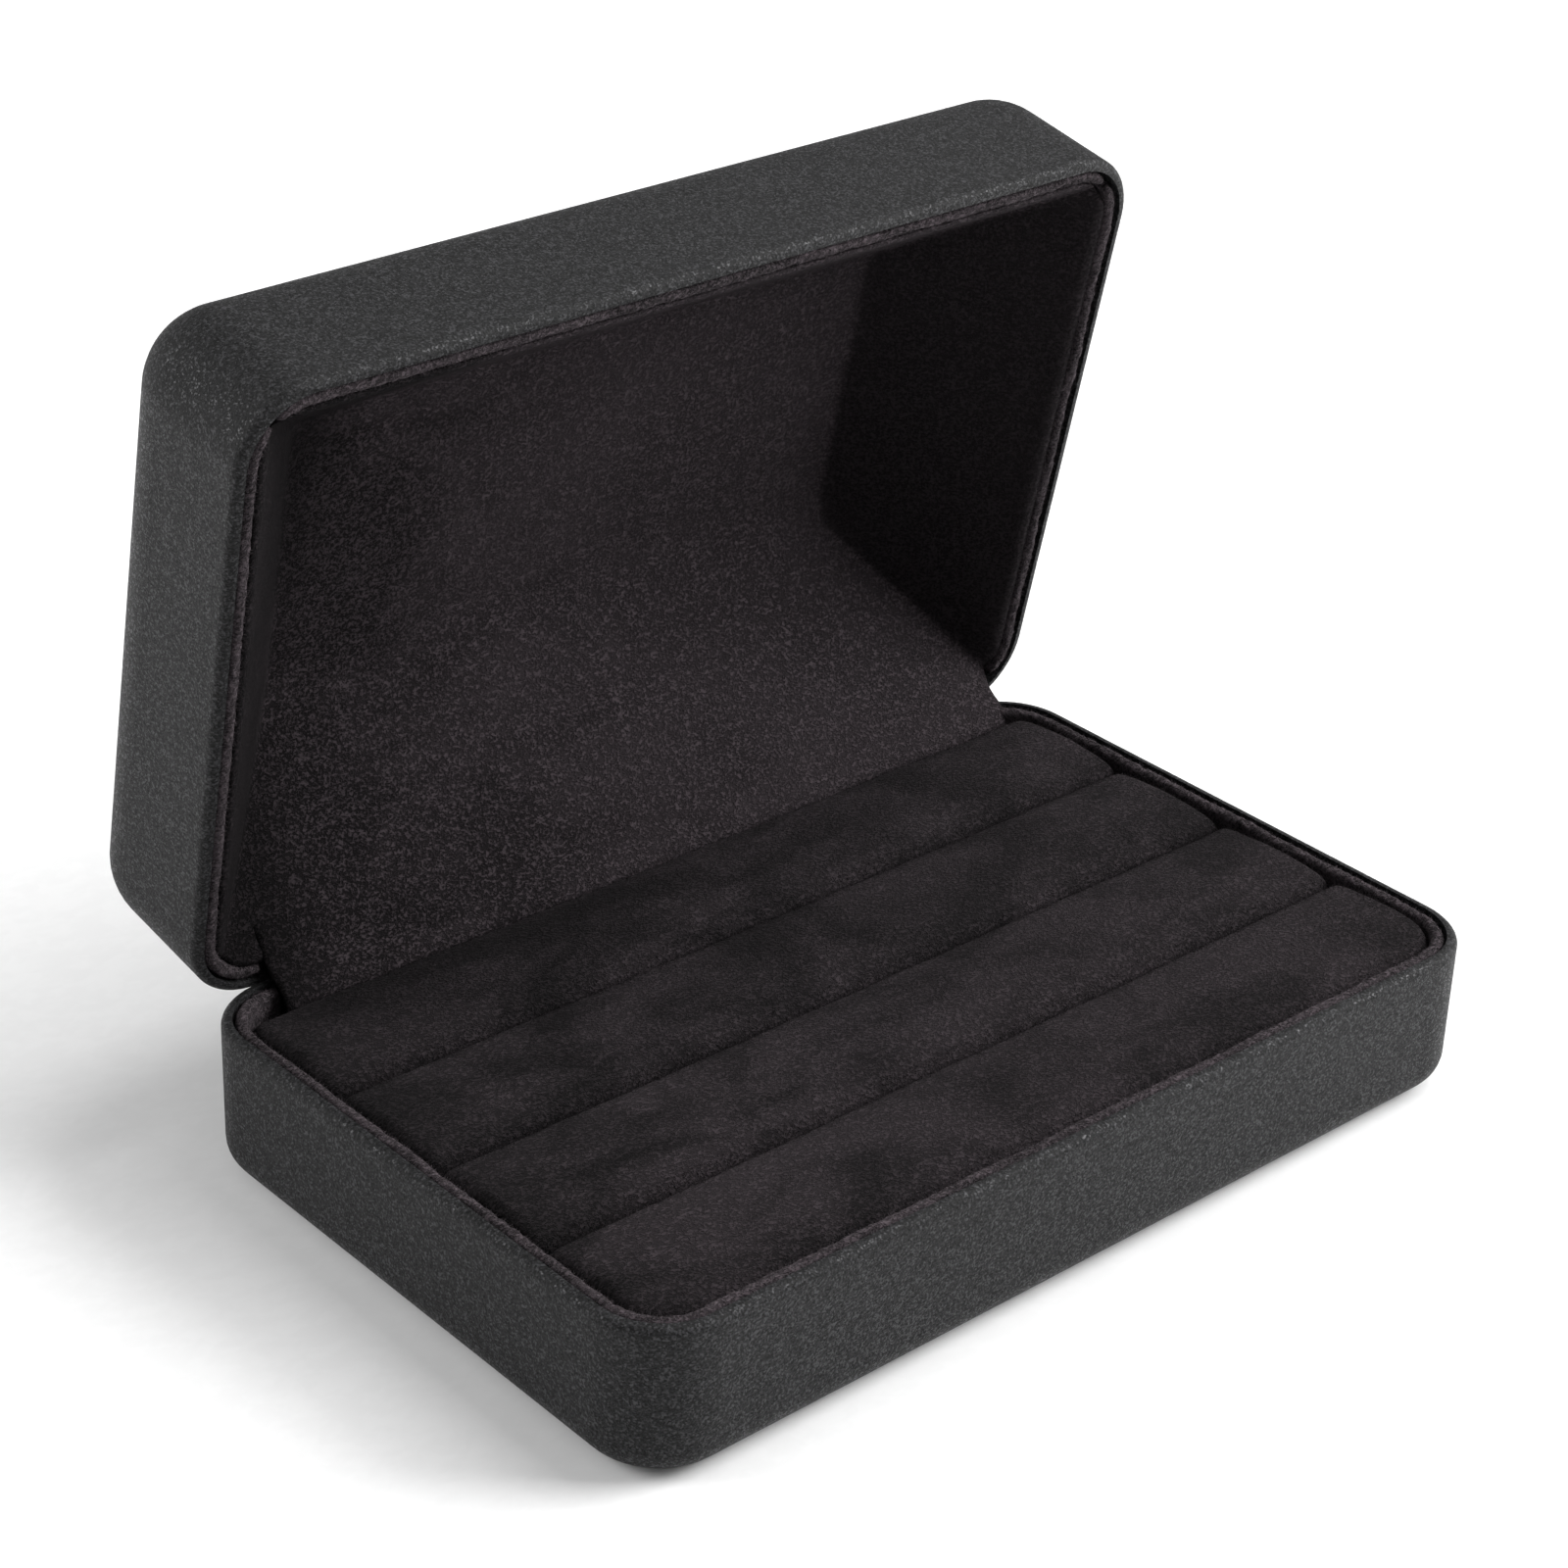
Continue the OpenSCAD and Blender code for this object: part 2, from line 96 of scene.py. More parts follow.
class RingBoxSizes(PropertyGroup):
    """Sizes of the soft parts."""

    width: FloatProperty(
        name="Width", description="Length of the box along its hinge",
        default=BASE_HIGH.x - BASE_LOW.x, unit="LENGTH", subtype="DISTANCE")
    depth: FloatProperty(
        name="Depth", description="Depth of the box, front to back",
        default=BASE_HIGH.y - BASE_LOW.y, unit="LENGTH", subtype="DISTANCE")
    base_rim: FloatProperty(
        name="Base rim", description="Height of the base's rim",
        default=BASE_HIGH.z, unit="LENGTH", subtype="DISTANCE")
    rim_gap: FloatProperty(
        name="Rim gap", description="Gap between the rims when the box is shut",
        default=0.3 * MM, unit="LENGTH", subtype="DISTANCE")
    corner: FloatProperty(
        name="Corner", description="Radius of the box's upright corners",
        default=13.8 * MM, unit="LENGTH", subtype="DISTANCE")
    band_in: FloatProperty(
        name="Band inset", description="Distance of the rim bands' outer face from the box's",
        default=2.3 * MM, unit="LENGTH", subtype="DISTANCE")
    band_thick: FloatProperty(
        name="Band thickness", description="Thickness of the rim bands",
        default=2.4 * MM, unit="LENGTH", subtype="DISTANCE")
    band_high: FloatProperty(
        name="Band height", description="Height of the rim bands",
        default=9.0 * MM, unit="LENGTH", subtype="DISTANCE")
    roll_slit: FloatProperty(
        name="Roll slit", description="Slit between two ring rolls",
        default=0.35 * MM, unit="LENGTH", subtype="DISTANCE")
    roll_crown: FloatProperty(
        name="Roll crown", description="Rise of a ring roll along its middle",
        default=1.2 * MM, unit="LENGTH", subtype="DISTANCE")
    roll_end: FloatProperty(
        name="Roll end", description="Length over which a ring roll rounds down at its ends",
        default=2.4 * MM, unit="LENGTH", subtype="DISTANCE")
    panel_depth: FloatProperty(
        name="Panel depth", description="Depth of the lining's panel below the lid's rim",
        default=30.0 * MM, unit="LENGTH", subtype="DISTANCE")
    slope_end: FloatProperty(
        name="End slope", description="Run of the lining's slopes at the two ends",
        default=27.5 * MM, unit="LENGTH", subtype="DISTANCE")
    slope_hinge: FloatProperty(
        name="Hinge slope", description="Run of the lining's slope at the hinge",
        default=28.3 * MM, unit="LENGTH", subtype="DISTANCE")
    slope_front: FloatProperty(
        name="Front slope", description="Run of the lining's slope at the front",
        default=24.6 * MM, unit="LENGTH", subtype="DISTANCE")
    strip_left: FloatProperty(
        name="Strip left end", description="Left end of the velvet strip over the hinge",
        default=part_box("hinge_cover_base")[0].x, unit="LENGTH", subtype="DISTANCE")
    strip_right: FloatProperty(
        name="Strip right end", description="Right end of the velvet strip over the hinge",
        default=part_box("hinge_cover_base")[1].x, unit="LENGTH", subtype="DISTANCE")
    fuzz: FloatProperty(
        name="Fuzz", description="How far tufts of the pile stand out on the rim bands",
        default=0.4 * MM, unit="LENGTH", subtype="DISTANCE")
    steps: IntProperty(
        name="Cloth steps", description="Steps that the rolls' velvet is simulated for",
        default=14, min=2, max=30)


class RingBoxFinishes(PropertyGroup):
    """Colours of the materials."""

    wrap: FloatVectorProperty(
        name="Wrap", description="Colour of the crepe wrap", subtype="COLOR",
        size=3, min=0, max=1, default=(0.0104, 0.0103, 0.0110))
    velvet: FloatVectorProperty(
        name="Velvet", description="Colour of the velvet", subtype="COLOR",
        size=3, min=0, max=1, default=(0.0192, 0.0155, 0.0174))
    steel: FloatVectorProperty(
        name="Steel", description="Colour of the hinges", subtype="COLOR",
        size=3, min=0, max=1, default=(0.46, 0.46, 0.47))
    card: FloatVectorProperty(
        name="Card", description="Colour of the grey board", subtype="COLOR",
        size=3, min=0, max=1, default=(0.30, 0.26, 0.21))
    foam: FloatVectorProperty(
        name="Foam", description="Colour of the foam cores", subtype="COLOR",
        size=3, min=0, max=1, default=(0.20, 0.19, 0.18))
    floor: FloatVectorProperty(
        name="Floor", description="Colour of the studio floor", subtype="COLOR",
        size=3, min=0, max=1, default=(0.95, 0.95, 0.95))


# ---------------------------------------------------------------- mesh helpers


def deselect():
    for piece in bpy.context.selected_objects:
        piece.select_set(False)


def activate(piece):
    deselect()
    piece.select_set(True)
    bpy.context.view_layer.objects.active = piece


def piece_from(name, points, faces, material):
    mesh = bpy.data.meshes.new(name)
    mesh.from_pydata([tuple(p) for p in points], [], faces)
    mesh.update()
    piece = bpy.data.objects.new(name, mesh)
    bpy.context.scene.collection.objects.link(piece)
    mesh.materials.append(material)
    activate(piece)
    bpy.ops.object.mode_set(mode="EDIT")
    bpy.ops.mesh.select_all(action="SELECT")
    bpy.ops.mesh.remove_doubles(threshold=1e-6)
    bpy.ops.mesh.normals_make_consistent(inside=False)
    bpy.ops.object.mode_set(mode="OBJECT")
    bpy.ops.object.shade_smooth()
    return piece


def apply(piece, modifier):
    activate(piece)
    bpy.ops.object.modifier_apply(modifier=modifier.name)


def subdivide_smooth(piece):
    modifier = piece.modifiers.new("Soft", "SUBSURF")
    modifier.levels = modifier.render_levels = 1
    apply(piece, modifier)


def thicken(piece, thickness):
    """Gives a sheet of faces its thickness, on the side away from their normals."""
    modifier = piece.modifiers.new("Thick", "SOLIDIFY")
    modifier.thickness = thickness
    modifier.offset = -1
    apply(piece, modifier)


def turn_faces(piece):
    activate(piece)
    bpy.ops.object.mode_set(mode="EDIT")
    bpy.ops.mesh.select_all(action="SELECT")
    bpy.ops.mesh.flip_normals()
    bpy.ops.object.mode_set(mode="OBJECT")


def move_points(piece, moved):
    """Moves each point of a mesh to moved(point)."""
    for vertex in piece.data.vertices:
        vertex.co = moved(vertex.co.copy())
    piece.data.update()


def ripple(point, size, amount, seed=0.0):
    """A smooth random offset of up to about amount, over lumps of the given size."""
    p = point / size + Vector((seed, seed * 1.7, -seed))
    return amount * noise.noise(p)


def outline_points(half_x, half_y, radius, side_step, corner_steps):
    """Points round a rounded rectangle, anticlockwise from the middle of the right side,
    each as (x, y, outward x, outward y)."""
    points = []
    radius = max(radius, 1e-5)
    cx, cy = half_x - radius, half_y - radius
    corners = [(cx, cy, 0), (-cx, cy, 90), (-cx, -cy, 180), (cx, -cy, 270)]
    for k, (x, y, start) in enumerate(corners):
        for step in range(corner_steps + 1):
            a = math.radians(start + 90 * step / corner_steps)
            points.append((x + radius * math.cos(a), y + radius * math.sin(a),
                           math.cos(a), math.sin(a)))
        nx, ny, a1 = corners[(k + 1) % 4]
        a = math.radians(start + 90)
        p = Vector((x + radius * math.cos(a), y + radius * math.sin(a)))
        q = Vector((nx + radius * math.cos(a), ny + radius * math.sin(a)))
        count = max(1, round((q - p).length / side_step))
        for step in range(1, count):
            m = p.lerp(q, step / count)
            points.append((m.x, m.y, math.cos(a), math.sin(a)))
    return points


def skin(loops, closed_round):
    """Quads between neighbouring loops of equal length."""
    n = len(loops[0])
    faces = []
    for i in range(len(loops) - 1):
        for k in range(n if closed_round else n - 1):
            m = (k + 1) % n
            faces.append((i * n + k, (i + 1) * n + k, (i + 1) * n + m, i * n + m))
    return faces


# ---------------------------------------------------------------- node helpers


def node(tree, kind, place=(0, 0), **values):
    made = tree.nodes.new(kind)
    made.location = place
    for key, value in values.items():
        if key.startswith("in_"):
            made.inputs[key[3:].replace("_", " ")].default_value = value
        else:
            setattr(made, key, value)
    return made


def math_node(tree, operation, a, b, place=(0, 0)):
    made = node(tree, "ShaderNodeMath", place, operation=operation)
    for socket, value in zip(made.inputs, (a, b)):
        if isinstance(value, (int, float)):
            socket.default_value = value
        else:
            tree.links.new(value, socket)
    return made.outputs[0]


def ramp(tree, value, low, high, place=(0, 0), to_low=0.0, to_high=1.0):
    made = node(tree, "ShaderNodeMapRange", place, clamp=True,
                in_From_Min=low, in_From_Max=high, in_To_Min=to_low, in_To_Max=to_high)
    tree.links.new(value, made.inputs["Value"])
    return made.outputs["Result"]


def group(name, inputs, outputs):
    """An empty node group with its named sockets."""
    tree = bpy.data.node_groups.new(name, "ShaderNodeTree")
    for label, kind, value in inputs:
        socket = tree.interface.new_socket(label, in_out="INPUT", socket_type=kind)
        if value is not None:
            socket.default_value = value
    for label, kind in outputs:
        tree.interface.new_socket(label, in_out="OUTPUT", socket_type=kind)
    tree.nodes.new("NodeGroupInput").location = (-900, 0)
    tree.nodes.new("NodeGroupOutput").location = (900, 0)
    return tree, tree.nodes["Group Input"], tree.nodes["Group Output"]


def pile_group():
    """Short velvet pile: tufts, streaky patches and the bump of both."""
    name = "Velvet pile"
    if name in bpy.data.node_groups:
        return bpy.data.node_groups[name]
    tree, given, out = group(
        name,
        [("Vector", "NodeSocketVector", None), ("Tuft size", "NodeSocketFloat", 0.0008),
         ("Patch size", "NodeSocketFloat", 0.02)],
        [("Tufts", "NodeSocketFloat"), ("Patches", "NodeSocketFloat"),
         ("Height", "NodeSocketFloat")])
    link = tree.links.new
    tuft_scale = math_node(tree, "DIVIDE", 1.0, given.outputs["Tuft size"], (-700, 200))
    patch_scale = math_node(tree, "DIVIDE", 1.0, given.outputs["Patch size"], (-700, -100))
    # The nap lies along the box, so its tufts are a little longer that way
    lie = node(tree, "ShaderNodeMapping", (-700, 400), in_Rotation=(0.0, 0.0, 0.5),
               in_Scale=(0.75, 1.0, 1.0))
    link(given.outputs["Vector"], lie.inputs["Vector"])
    tufts = node(tree, "ShaderNodeTexNoise", (-500, 250), in_Detail=2.0, in_Roughness=0.7)
    link(lie.outputs[0], tufts.inputs["Vector"])
    link(tuft_scale, tufts.inputs["Scale"])
    clumps = node(tree, "ShaderNodeTexNoise", (-500, 50), in_Detail=2.0, in_Roughness=0.6)
    link(lie.outputs[0], clumps.inputs["Vector"])
    link(math_node(tree, "MULTIPLY", tuft_scale, 0.45), clumps.inputs["Scale"])
    patches = node(tree, "ShaderNodeTexNoise", (-500, -200), in_Detail=5.0,
                   in_Roughness=0.6, in_Distortion=0.6)
    stroke = node(tree, "ShaderNodeMapping", (-700, -300), in_Rotation=(0.5, 0.2, 0.8),
                  in_Scale=(0.7, 1.15, 1.0))
    link(given.outputs["Vector"], stroke.inputs["Vector"])
    link(stroke.outputs[0], patches.inputs["Vector"])
    link(patch_scale, patches.inputs["Scale"])
    fine = ramp(tree, tufts.outputs["Fac"], 0.42, 0.6, (-250, 250))
    lump = ramp(tree, clumps.outputs["Fac"], 0.38, 0.62, (-250, 50))
    tips = node(tree, "ShaderNodeTexVoronoi", (-500, 450), in_Randomness=1.0)
    link(lie.outputs[0], tips.inputs["Vector"])
    link(tuft_scale, tips.inputs["Scale"])
    tone = node(tree, "ShaderNodeSeparateColor", (-300, 450))
    link(tips.outputs["Color"], tone.inputs[0])
    mixed = math_node(tree, "ADD", math_node(tree, "MULTIPLY", fine, 0.45),
                      math_node(tree, "MULTIPLY", lump, 0.15))
    mixed = math_node(tree, "ADD", mixed,
                      math_node(tree, "MULTIPLY", tone.outputs["Red"], 0.4))
    mixed = ramp(tree, mixed, 0.3, 0.72, (0, 300))
    link(mixed, out.inputs["Tufts"])
    link(ramp(tree, patches.outputs["Fac"], 0.4, 0.6, (-250, -200)),
         out.inputs["Patches"])
    link(mixed, out.inputs["Height"])
    return tree


def crepe_group():
    """Crepe grain: small crossing wrinkles, with a few specks, which the wrap paints bright as
    highlights.
    """
    name = "Crepe grain"
    if name in bpy.data.node_groups:
        return bpy.data.node_groups[name]
    tree, given, out = group(
        name,
        [("Vector", "NodeSocketVector", None), ("Grain size", "NodeSocketFloat", 0.0006)],
        [("Grain", "NodeSocketFloat"), ("Specks", "NodeSocketFloat"),
         ("Height", "NodeSocketFloat")])
    link = tree.links.new
    scale = math_node(tree, "DIVIDE", 1.0, given.outputs["Grain size"], (-700, 0))
    heights = []
    for k, turn in enumerate(((0.3, 0.2, 0.6), (-0.5, 0.9, -0.7))):
        lie = node(tree, "ShaderNodeMapping", (-500, 300 - 300 * k), in_Rotation=turn,
                   in_Scale=(0.55, 1.0, 1.0))
        link(given.outputs["Vector"], lie.inputs["Vector"])
        wrinkle = node(tree, "ShaderNodeTexNoise", (-300, 300 - 300 * k), in_Detail=2.5,
                       in_Roughness=0.7, in_Distortion=0.7)
        link(lie.outputs[0], wrinkle.inputs["Vector"])
        link(scale, wrinkle.inputs["Scale"])
        heights.append(wrinkle.outputs["Fac"])
    high = math_node(tree, "MAXIMUM", heights[0], heights[1])
    knots = node(tree, "ShaderNodeTexVoronoi", (-300, -400), in_Randomness=1.0)
    link(given.outputs["Vector"], knots.inputs["Vector"])
    link(math_node(tree, "MULTIPLY", scale, 1.6), knots.inputs["Scale"])
    tone = node(tree, "ShaderNodeSeparateColor", (-100, -400))
    link(knots.outputs["Color"], tone.inputs[0])
    high = math_node(tree, "ADD", math_node(tree, "MULTIPLY", high, 0.62),
                     math_node(tree, "MULTIPLY", tone.outputs["Green"], 0.34))
    grain = ramp(tree, high, 0.36, 0.66, (0, 200))
    link(grain, out.inputs["Grain"])
    # The specks, painted as highlights in the wrap's colour
    link(ramp(tree, high, 0.58, 0.68, (0, 0)), out.inputs["Specks"])
    link(grain, out.inputs["Height"])
    return tree


def material(name, roughness, specular=0.5):
    """A new material and its Principled shader."""
    made = bpy.data.materials.new(name)
    made.use_nodes = True
    shader = made.node_tree.nodes["Principled BSDF"]
    shader.inputs["Roughness"].default_value = roughness
    shader.inputs["Specular IOR Level"].default_value = specular
    return made, made.node_tree, shader


def colour_between(tree, low, high, factor, place=(0, 0)):
    mix = node(tree, "ShaderNodeMix", place, data_type="RGBA")
    mix.inputs[6].default_value = (*low, 1.0)
    mix.inputs[7].default_value = (*high, 1.0)
    tree.links.new(factor, mix.inputs["Factor"])
    return mix.outputs[2]


def use_group(tree, made, place=(-500, 0), **values):
    box = node(tree, "ShaderNodeGroup", place)
    box.node_tree = made
    for label, value in values.items():
        box.inputs[label.replace("_", " ")].default_value = value
    coords = node(tree, "ShaderNodeTexCoord", (place[0] - 200, place[1]))
    tree.links.new(coords.outputs["Object"], box.inputs["Vector"])
    return box


def bumped(tree, shader, height, distance):
    bump = node(tree, "ShaderNodeBump", (-150, -300), in_Strength=1.0,
                in_Distance=distance)
    tree.links.new(height, bump.inputs["Height"])
    tree.links.new(bump.outputs["Normal"], shader.inputs["Normal"])


def velvet_material(name, patch, shade=None, gain=1.0, sheen=0.035):
    """Short black pile. shade, where given, returns the patches, darkened toward the left, and
    the level of the whole surface, which darkens it with painted shade."""
    if name in bpy.data.materials:
        return bpy.data.materials[name]
    made, tree, shader = material(name, 0.9, 0.1)
    pile = use_group(tree, pile_group(), Tuft_size=0.00048, Patch_size=patch)
    tone = [c * gain for c in finishes().velvet]
    patches, level = pile.outputs["Patches"], None
    if shade:
        patches, level = shade(tree, patches)
    lit = math_node(tree, "ADD", math_node(tree, "MULTIPLY", pile.outputs["Tufts"], 0.75),
                    math_node(tree, "MULTIPLY", patches, 0.4))
    pile_colour = colour_between(tree, [c * 0.18 for c in tone], [c * 1.82 for c in tone], lit)
    dimmed = node(tree, "ShaderNodeVectorMath", (-100, 200), operation="SCALE")
    tree.links.new(pile_colour, dimmed.inputs[0])
    # The level scales the colour: painted shade where shade gives it
    if shade:
        tree.links.new(level, dimmed.inputs["Scale"])
    tree.links.new(dimmed.outputs[0], shader.inputs["Base Color"])
    shader.inputs["Sheen Weight"].default_value = sheen
    shader.inputs["Sheen Roughness"].default_value = 0.5
    shader.inputs["Sheen Tint"].default_value = (0.7, 0.62, 0.66, 1.0)
    bumped(tree, shader, pile.outputs["Height"], 0.0007)
    return made


def band_material():
    """Velvet of the rim bands, painted paler as a painted highlight where the pile stands up over
    the edge and catches the light.
    """
    # The gain of 2 paints the bands paler: a painted highlight on the pile
    return velvet_material("Black velvet of the bands", 0.012, None, 2.0, 0.14)


def roll_material():
    """Velvet of the rolls, with painted shade darkening them toward their left ends."""

    def shade(tree, patches):
        coords = node(tree, "ShaderNodeTexCoord", (-1400, -500))
        place = node(tree, "ShaderNodeSeparateXYZ", (-1200, -400))
        tree.links.new(coords.outputs["Object"], place.inputs[0])
        # The painted shade's edge runs slanting over the rolls
        slant = math_node(tree, "SUBTRACT", place.outputs["X"],
                          math_node(tree, "MULTIPLY", place.outputs["Y"], 0.6))
        wander = math_node(tree, "MULTIPLY", patches, 0.05)
        left = ramp(tree, math_node(tree, "ADD", slant, wander), -0.055, 0.015)
        patches_darker_left = math_node(tree, "ADD", math_node(tree, "MULTIPLY", left, 0.45),
                            math_node(tree, "MULTIPLY", patches, 0.55))
        # Painted shade at the left ends, times patch tone that varies at random
        level = math_node(tree, "MULTIPLY", ramp(tree, left, 0, 1, (0, 0), 0.72, 1.0),
                          ramp(tree, patches, 0, 1, (0, 0), 0.6, 1.16))
        return patches_darker_left, level

    return velvet_material("Black velvet of the rolls", 0.02, shade, 0.86)


def lining_material():
    """Velvet of the lid: painted shade on the right-hand flap, a painted shadow of the left-hand
    flap over the panel, and darker toward the panel's left end.
    """
    s = sizes()
    edge = s.band_in + s.band_thick + 0.2 * MM

    def shade(tree, patches):
        coords = node(tree, "ShaderNodeTexCoord", (-1400, -500))
        place = node(tree, "ShaderNodeSeparateXYZ", (-1200, -400))
        tree.links.new(coords.outputs["Object"], place.inputs[0])
        # Depth of the shut lid, front to back, as a direction in the open one
        along = OPENED.to_3x3() @ Vector((0, 1, 0))
        across = node(tree, "ShaderNodeVectorMath", (-1200, -600), operation="DOT_PRODUCT")
        across.inputs[1].default_value = along
        tree.links.new(coords.outputs["Object"], across.inputs[0])
        shift = (OPENED @ Vector((0, 0, 0))).dot(along)
        y = math_node(tree, "SUBTRACT", across.outputs["Value"], shift)
        x = place.outputs["X"]

        def share(value, room, run):
            return math_node(tree, "DIVIDE", math_node(tree, "SUBTRACT", room, value), run)

        end = share(x, s.width / 2 - edge, s.slope_end)
        hinge = share(y, s.depth / 2 - edge, s.slope_hinge)
        front = share(math_node(tree, "MULTIPLY", y, -1.0), s.depth / 2 - edge, s.slope_front)
        inner = math_node(tree, "MINIMUM", math_node(tree, "MINIMUM", hinge, front), 1.0)
        # Painted shade: the right-hand flap's colour is darkened to about half
        flap = ramp(tree, math_node(tree, "SUBTRACT", inner, end), -0.01, 0.03)
        # The left-hand flap's shadow runs on over the panel, widest at the front
        other = share(math_node(tree, "MULTIPLY", x, -1.0), s.width / 2 - edge, s.slope_end)
        near = math_node(tree, "SUBTRACT", other, math_node(tree, "MULTIPLY", y, -8.0))
        dim = ramp(tree, near, 0.9, 1.3, (0, 0), 0.4, 1.06)
        # The panel is darker toward its left end
        wander = math_node(tree, "MULTIPLY", patches, 0.045)
        left = ramp(tree, math_node(tree, "ADD", x, wander), -0.045, 0.02)
        patches_darker_left = math_node(tree, "ADD", math_node(tree, "MULTIPLY", left, 0.66),
                            math_node(tree, "MULTIPLY", patches, 0.34))
        # The level darkens the right-hand flap as painted shade and carries the left-hand flap's
        # painted shadow
        level = math_node(tree, "MULTIPLY", ramp(tree, flap, 0, 1, (0, 0), 1.06, 0.5), dim)
        return patches_darker_left, level

    return velvet_material("Black velvet of the lid", 0.026, shade, 1.3, 0.008)


def wrap_material():
    """Crepe grain in its colour: painted shade in its hollows, painted highlights on its wrinkles
    and specks, which are also smoother.
    """
    name = "Black crepe wrap"
    if name in bpy.data.materials:
        return bpy.data.materials[name]
    made, tree, shader = material(name, 0.5, 0.22)
    crepe = use_group(tree, crepe_group(), Grain_size=0.00052)
    tone = finishes().wrap
    # The colour runs from painted shade in the grain's hollows to painted highlights on its
    # wrinkles and specks
    grain_and_painted_glint = math_node(tree, "ADD", math_node(tree, "MULTIPLY", crepe.outputs["Grain"], 0.4),
                      math_node(tree, "MULTIPLY", crepe.outputs["Specks"], 0.6))
    tree.links.new(
        colour_between(tree, [c * 0.1 for c in tone], [c * 4.2 for c in tone], grain_and_painted_glint),
        shader.inputs["Base Color"])
    tree.links.new(ramp(tree, crepe.outputs["Specks"], 0, 1, (-200, -150), 0.6, 0.35),
                   shader.inputs["Roughness"])
    shader.inputs["Sheen Weight"].default_value = 0.025
    shader.inputs["Sheen Roughness"].default_value = 0.3
    bumped(tree, shader, crepe.outputs["Height"], 0.0002)
    return made


def plain_material(name, tone, roughness, metallic=0.0, grain=0.0006, spread=0.25,
                   depth=0.00003):
    """A plain finish with a little grain in its colour and its surface."""
    if name in bpy.data.materials:
        return bpy.data.materials[name]
    made, tree, shader = material(name, roughness)
    shader.inputs["Metallic"].default_value = metallic
    pile = use_group(tree, pile_group(), Tuft_size=grain, Patch_size=0.03)
    tree.links.new(
        colour_between(tree, [c * (1 - spread) for c in tone],
                       [min(1, c * (1 + spread)) for c in tone],
                       pile.outputs["Tufts"]), shader.inputs["Base Color"])
    tree.links.new(ramp(tree, pile.outputs["Patches"], 0, 1, (-200, -150),
                        roughness - 0.08, roughness + 0.08), shader.inputs["Roughness"])
    bumped(tree, shader, pile.outputs["Height"], depth)
    return made


# ---------------------------------------------------------------- CAD nodes that stay


class RINGBOX_OT_wraps(Operator):
    """Gives the crepe wraps and the flocked sheet their finish"""

    bl_idname = "ringbox.wraps"
    bl_label = "Crepe wraps"

    def execute(self, context):
        for name in ("base_wrap", "lid_wrap"):
            wear(name, wrap_material())
        sheet = plain_material("Flocked sheet", (0.012, 0.012, 0.0125), 0.9,
                               grain=0.0004, spread=0.5, depth=0.00012)
        wear("base_underside_sheet", sheet)
        return {"FINISHED"}


class RINGBOX_OT_cores(Operator):
    """Gives the moulded shells, the cards, the board and the foam cores their finish"""

    bl_idname = "ringbox.cores"
    bl_label = "Shells and cores"

    def execute(self, context):
        shell = plain_material("Moulded shell", (0.02, 0.02, 0.021), 0.6, grain=0.0009)
        card = plain_material("Grey board", finishes().card, 0.9, grain=0.0005,
                              spread=0.3, depth=0.00008)
        foam = plain_material("Foam", finishes().foam, 0.95, grain=0.0009, spread=0.45,
                              depth=0.0003)
        for name in FRAME["nodes"]:
            if "shell" in name:
                wear(name, shell)
            elif "card" in name or "board" in name:
                wear(name, card)
            elif "foam" in name:
                wear(name, foam)
        return {"FINISHED"}


class RINGBOX_OT_hinges(Operator):
    """Gives the steel snap hinges their finish"""

    bl_idname = "ringbox.hinges"
    bl_label = "Snap hinges"

    def execute(self, context):
        steel = plain_material("Zinc-plated steel", finishes().steel, 0.38, 1.0,
                               grain=0.0011, spread=0.16, depth=0.00001)
        for name in FRAME["nodes"]:
            if any(word in name for word in ("leaf", "pin_", "spring", "rivets")):
                wear(name, steel)
        return {"FINISHED"}


def wear(name, made):
    """Puts a material on a CAD node's object."""
    piece = FRAME["nodes"][name]
    for place in piece.material_slots:
        place.link = "OBJECT"
        place.material = made


# ---------------------------------------------------------------- rim bands

TUFTS_PER_STEP = 16
# A point of the rim bands this near to the back face lies on the hinge side
BACK_ZONE = 6 * MM


def band_section():
    """Half round on top of two straight faces: (outward, up from the rim plane)."""
    s = sizes()
    half = s.band_thick / 2 - 0.05 * MM
    top = -0.1 * MM
    points = [(half * 0.9, top - s.band_high + 0.2 * MM)]
    points += [(half, top - half - t * (s.band_high - half - 0.6 * MM))
               for t in (0.75, 0.45, 0.2)]
    for k in range(11):
        a = math.radians(180 * k / 10)
        points.append((half * math.cos(a), top - half * 0.9 + half * 0.9 * math.sin(a)))
    points += [(-half, top - half - t * (s.band_high - half - 0.6 * MM))
               for t in (0.2, 0.45, 0.75)]
    points.append((-half * 0.9, top - s.band_high + 0.2 * MM))
    return points


def band_path():
    """Middle line of the rim bands, in steps of about a millimetre."""
    s = sizes()
    inset = s.band_in + s.band_thick / 2
    return outline_points(s.width / 2 - inset, s.depth / 2 - inset, s.corner - inset,
                          1.0 * MM, 14)


